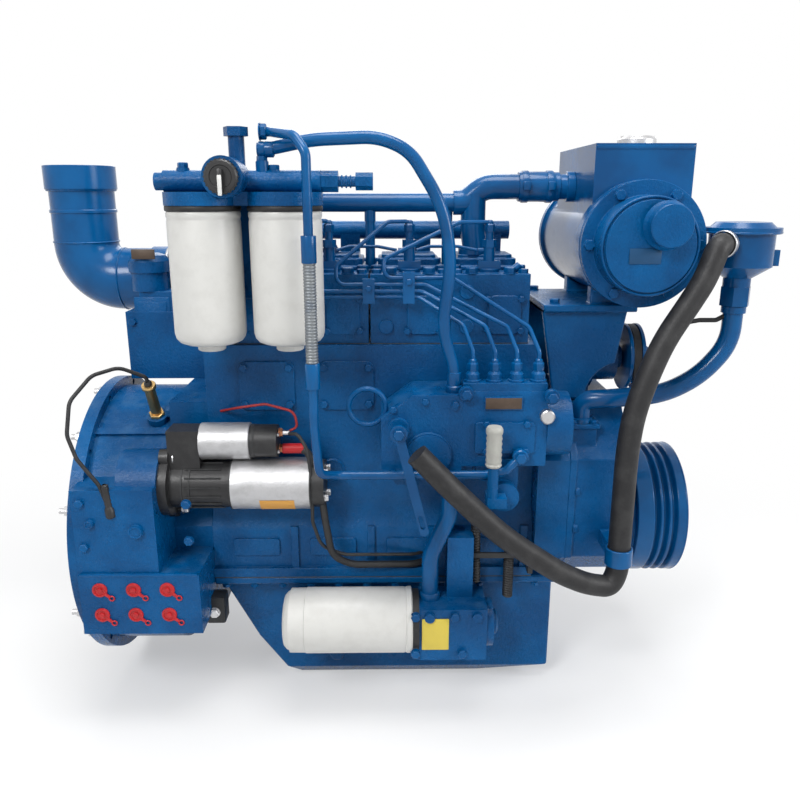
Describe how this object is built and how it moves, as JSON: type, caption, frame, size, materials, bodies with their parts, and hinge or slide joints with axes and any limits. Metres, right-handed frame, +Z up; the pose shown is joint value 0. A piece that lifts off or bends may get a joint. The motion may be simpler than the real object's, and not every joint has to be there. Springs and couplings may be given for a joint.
{
  "type": "marine diesel engine",
  "caption": "Inline marine diesel engine with injection pump, turbocharger, exchanger header tank, starter, spin-on filters, crank pulley and open flywheel housing.",
  "frame": {"origin": "crank axis at the rear flange face of the flywheel housing", "axes": "+X along the crank axis to the front pulley, -Y to the injection pump side, +Z up"},
  "size_m": [1.243, 0.6078, 0.9335],
  "materials": {
    "engine_blue": "gloss",
    "bare_steel": "satin",
    "cast_iron": "rough",
    "filter_white": "gloss",
    "red_plastic": "satin",
    "black_rubber": "matte",
    "black_plastic": "satin",
    "alternator_aluminium": "satin",
    "starter_metal": "satin",
    "sensor_brass": "satin"
  },
  "bodies": {
    "engine": {"cylinder_block": "engine_blue", "oil_sump": "engine_blue", "flywheel_housing": "engine_blue", "timing_case": "engine_blue", "timing_cover": "engine_blue", "head_1": "engine_blue", "head_2": "engine_blue", "head_3": "engine_blue", "head_4": "engine_blue", "rocker_covers": "engine_blue", "injection_line_1": "engine_blue", "injection_line_2": "engine_blue", "injection_line_3": "engine_blue", "injection_line_4": "engine_blue", "line_clamps": "engine_blue", "injection_pump": "engine_blue", "governor_housing": "engine_blue", "feed_pump": "engine_blue", "filter_head": "engine_blue", "fuel_pipe": "engine_blue", "fuel_hose": "engine_blue", "coolant_rail": "engine_blue", "coolant_pipe": "engine_blue", "intake_manifold": "engine_blue", "exhaust_manifold": "engine_blue", "exhaust_elbow": "engine_blue", "header_tank": "engine_blue", "exchanger_cover": "engine_blue", "tank_bracket": "engine_blue", "breather": "engine_blue", "breather_pipe": "engine_blue", "water_pump": "engine_blue", "oil_filter_head": "engine_blue", "oil_pipe": "engine_blue", "hose_clips": "engine_blue", "fixed_bolts": "bare_steel", "injectors": "bare_steel", "turbocharger": "cast_iron", "fuel_filter_1": "filter_white", "fuel_filter_2": "filter_white", "oil_filter": "filter_white", "pad_caps": "red_plastic", "breather_hose": "black_rubber", "drive_belt": "black_rubber", "alternator": "alternator_aluminium", "starter_motor": "starter_metal", "starter_solenoid": "starter_metal", "speed_sensor": "sensor_brass"},
    "crank": {"crankshaft": "bare_steel", "flywheel": "cast_iron", "ring_gear": "bare_steel", "crank_pulley": "engine_blue"},
    "water_pump_pulley": {"water_pump_pulley": "engine_blue"},
    "alternator_pulley": {"alternator_pulley": "bare_steel"},
    "turbo_rotor": {"turbo_rotor": "bare_steel"},
    "throttle_lever": {"throttle_lever": "bare_steel"},
    "changeover_lever": {"changeover_lever": "black_plastic"},
    "primer_plunger": {"primer_plunger": "bare_steel"},
    "filler_cap": {"filler_cap": "bare_steel"},
    "dipstick": {"dipstick": "bare_steel"}
  },
  "joints": [
    {"name": "crank_spin", "type": "hinge", "parent": "engine", "child": "crank", "pos_m": [0.5, 0, 0], "axis": [1, 0, 0], "continuous": true},
    {"name": "water_pump_spin", "type": "hinge", "parent": "engine", "child": "water_pump_pulley", "pos_m": [0.908, -0.03, 0.29], "axis": [1, 0, 0], "continuous": true},
    {"name": "alternator_spin", "type": "hinge", "parent": "engine", "child": "alternator_pulley", "pos_m": [0.908, 0.235, 0.205], "axis": [1, 0, 0], "continuous": true},
    {"name": "turbo_spin", "type": "hinge", "parent": "engine", "child": "turbo_rotor", "pos_m": [0.09, 0.2, 0.4], "axis": [1, 0, 0], "continuous": true},
    {"name": "throttle", "type": "hinge", "parent": "engine", "child": "throttle_lever", "pos_m": [0.508, -0.253, 0.222], "axis": [0, -1, 0], "range_deg": [-25, 25]},
    {"name": "filter_changeover", "type": "hinge", "parent": "engine", "child": "changeover_lever", "pos_m": [0.276, -0.255, 0.582], "axis": [0, -1, 0], "range_deg": [-90, 90]},
    {"name": "primer_stroke", "type": "slide", "parent": "engine", "child": "primer_plunger", "axis": [0, 0, 1], "range_m": [0, 0.03]},
    {"name": "cap_lift", "type": "slide", "parent": "engine", "child": "filler_cap", "axis": [0, 0, 1], "range_m": [0, 0.03]},
    {"name": "dipstick_pull", "type": "slide", "parent": "engine", "child": "dipstick", "axis": [0, 0, 1], "range_m": [0, 0.15]}
  ],
  "couplings": [
    {"joint": "water_pump_spin", "follows": "crank_spin", "ratio": 2},
    {"joint": "alternator_spin", "follows": "crank_spin", "ratio": 3.2}
  ]
}
